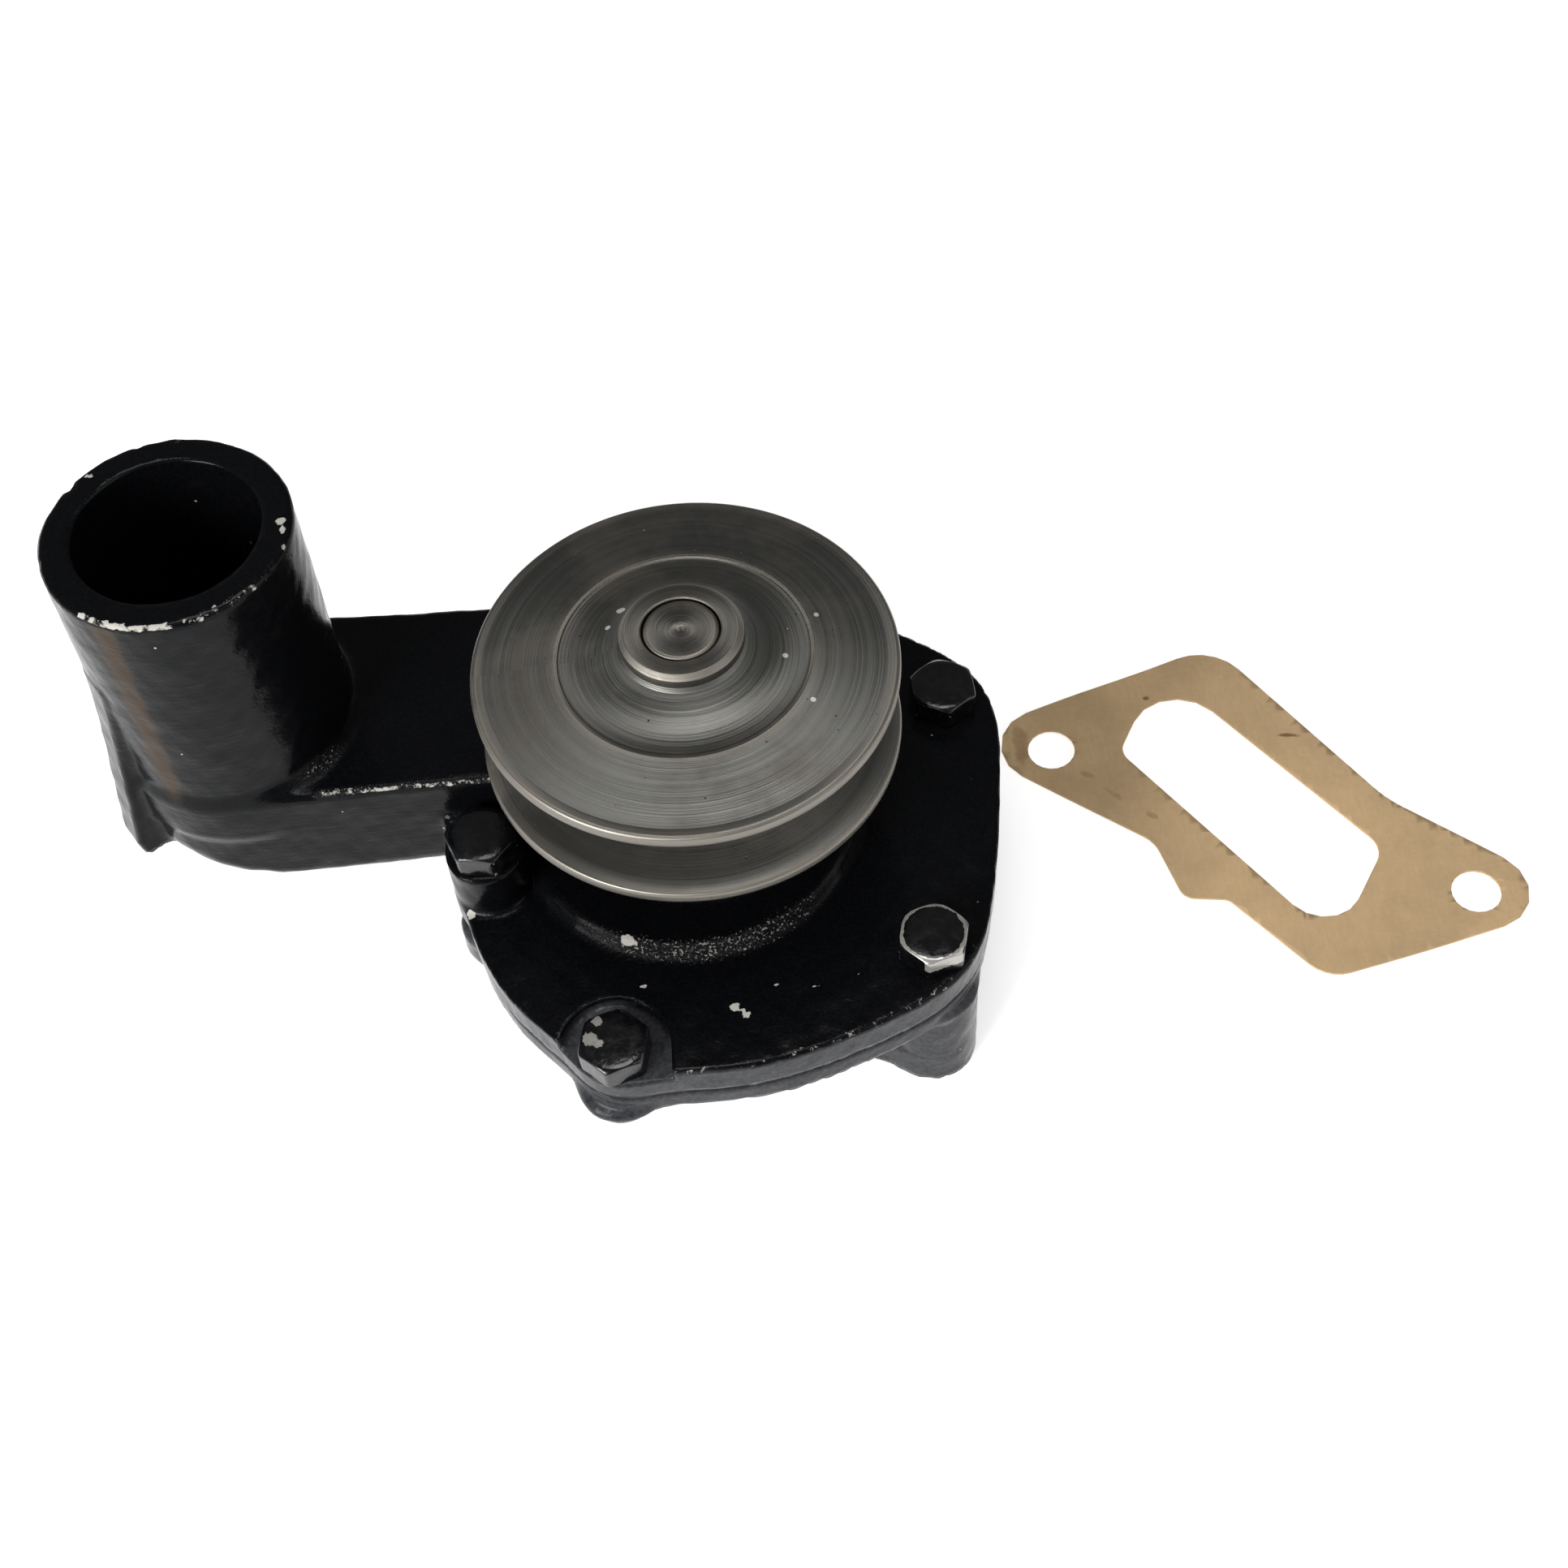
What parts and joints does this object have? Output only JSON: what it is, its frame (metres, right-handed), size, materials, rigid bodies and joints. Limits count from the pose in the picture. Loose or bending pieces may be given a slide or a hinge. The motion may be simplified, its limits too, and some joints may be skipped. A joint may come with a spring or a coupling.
{
  "type": "engine coolant pump",
  "caption": "Belt-driven engine coolant pump with a V-belt pulley, an inlet arm with an upright hose spigot, and its loose outlet gasket.",
  "frame": {"origin": "where the shaft's axis meets the flat engine face that the pump lies on", "axes": "+Z along the shaft, from the engine face towards the pulley; -X along the inlet arm, towards the hose spigot"},
  "size_m": [0.3257, 0.1402, 0.126],
  "materials": {
    "casting_paint": "gloss black enamel over rough sand-cast iron, chipped on its edges",
    "bolt_paint": "steel bolts under the same gloss black enamel, worn bright on the corners",
    "turned_steel": "bare turned steel with fine circular tool marks and light rust tint",
    "shaft_steel": "ground steel, faced on the end",
    "bearing_steel": "ground and polished bearing steel",
    "cage_nylon": "natural moulded nylon",
    "seal_rubber": "matte black rubber",
    "seal_brass": "pressed brass",
    "seal_carbon": "lapped carbon",
    "seal_ceramic": "lapped ceramic",
    "spring_steel": "drawn stainless wire",
    "impeller_iron": "bare cast iron",
    "gasket_paper": "tan gasket paper with a fine fibre and a few brown stains"
  },
  "bodies": {
    "casing": {"front_housing": "casting_paint", "rear_housing": "casting_paint", "body_gasket": "gasket_paper", "cover_bolt_a": "bolt_paint", "cover_bolt_b": "bolt_paint", "cover_bolt_c": "bolt_paint", "cover_bolt_d": "bolt_paint", "cover_bolt_e": "bolt_paint", "cover_bolt_f": "bolt_paint", "bearing_locating_screw": "bolt_paint", "locating_screw_nut": "bolt_paint", "bearing_sleeve": "bearing_steel", "bearing_seal_front": "seal_rubber", "bearing_seal_rear": "seal_rubber", "seal_case": "seal_brass", "seal_bellows": "seal_rubber", "seal_spring": "spring_steel", "seal_carbon_ring": "seal_carbon"},
    "rotor": {"pulley": "turned_steel", "pump_shaft": "shaft_steel", "impeller": "impeller_iron", "water_slinger": "seal_rubber", "seal_ceramic_seat": "seal_ceramic", "seal_seat_cup": "seal_rubber"},
    "front_ball_row": {"front_ball_cage": "cage_nylon", "front_ball_1": "bearing_steel", "front_ball_2": "bearing_steel", "front_ball_3": "bearing_steel", "front_ball_4": "bearing_steel", "front_ball_5": "bearing_steel", "front_ball_6": "bearing_steel", "front_ball_7": "bearing_steel"},
    "rear_ball_row": {"rear_ball_cage": "cage_nylon", "rear_ball_1": "bearing_steel", "rear_ball_2": "bearing_steel", "rear_ball_3": "bearing_steel", "rear_ball_4": "bearing_steel", "rear_ball_5": "bearing_steel", "rear_ball_6": "bearing_steel", "rear_ball_7": "bearing_steel"},
    "loose_gasket": {"outlet_gasket": "gasket_paper"}
  },
  "joints": [
    {"name": "rotor_spin", "type": "hinge", "parent": "casing", "child": "rotor", "pos_m": [0, 0, 0.065], "axis": [0, 0, 1], "continuous": true},
    {"name": "front_row_orbit", "type": "hinge", "parent": "casing", "child": "front_ball_row", "pos_m": [0, 0, 0.0742], "axis": [0, 0, 1], "continuous": true},
    {"name": "rear_row_orbit", "type": "hinge", "parent": "casing", "child": "rear_ball_row", "pos_m": [0, 0, 0.0562], "axis": [0, 0, 1], "continuous": true},
    {"name": "gasket_lift", "type": "slide", "parent": "casing", "child": "loose_gasket", "axis": [0, 0, 1], "range_m": [0, 0.03]}
  ],
  "couplings": [
    {"joint": "front_row_orbit", "follows": "rotor_spin", "ratio": 0.377},
    {"joint": "rear_row_orbit", "follows": "rotor_spin", "ratio": 0.377}
  ]
}
